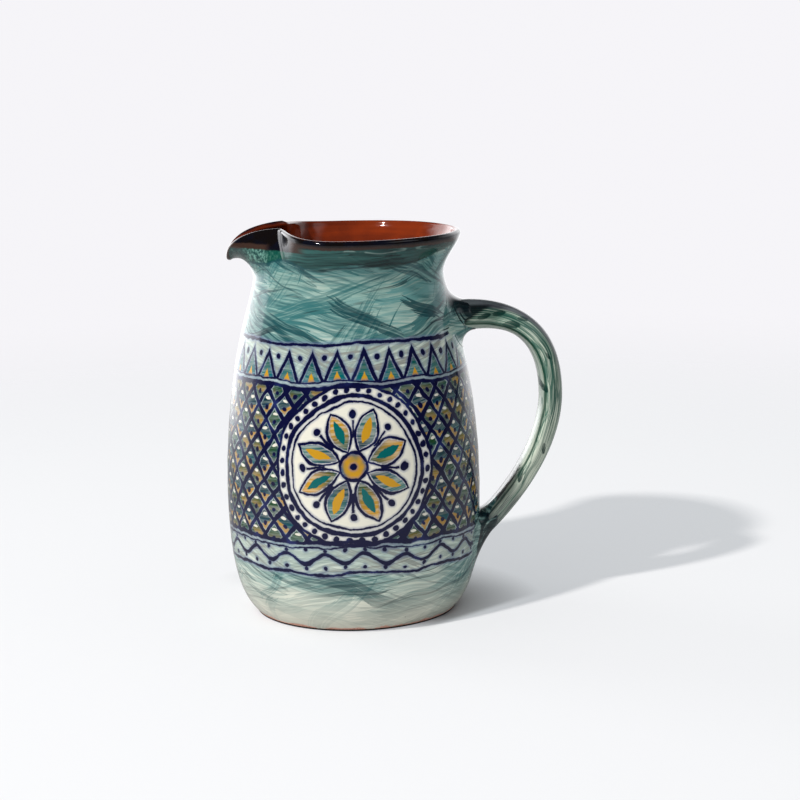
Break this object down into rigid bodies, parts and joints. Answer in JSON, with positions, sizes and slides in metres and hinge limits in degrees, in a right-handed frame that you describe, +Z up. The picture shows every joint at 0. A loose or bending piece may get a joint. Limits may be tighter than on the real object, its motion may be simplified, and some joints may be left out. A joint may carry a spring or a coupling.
{
  "type": "ceramic jug",
  "caption": "Hand-thrown glazed earthenware jug with a full belly, flared collar, pulled and pinched pouring spout and a strap handle luted to the wall.",
  "frame": {"origin": "middle of the foot's flat underside, on the axis the jug was thrown about", "axes": "+Z up along the throwing axis, +X toward the handle, so the spout looks to -X; the jug is seen from -Y in the picture"},
  "size_m": [0.1686, 0.127, 0.194],
  "materials": {
    "painted_glaze": "clear gloss glaze over brushed colours on pale slip",
    "washed_glaze": "clear gloss glaze over a streaky green wash",
    "joint_glaze": "clear gloss glaze over a dark brushed wash"
  },
  "bodies": {
    "root": {"thrown_body": "painted_glaze", "strap_handle": "washed_glaze", "upper_joint_coil": "joint_glaze", "lower_joint_coil": "joint_glaze"}
  },
  "joints": []
}
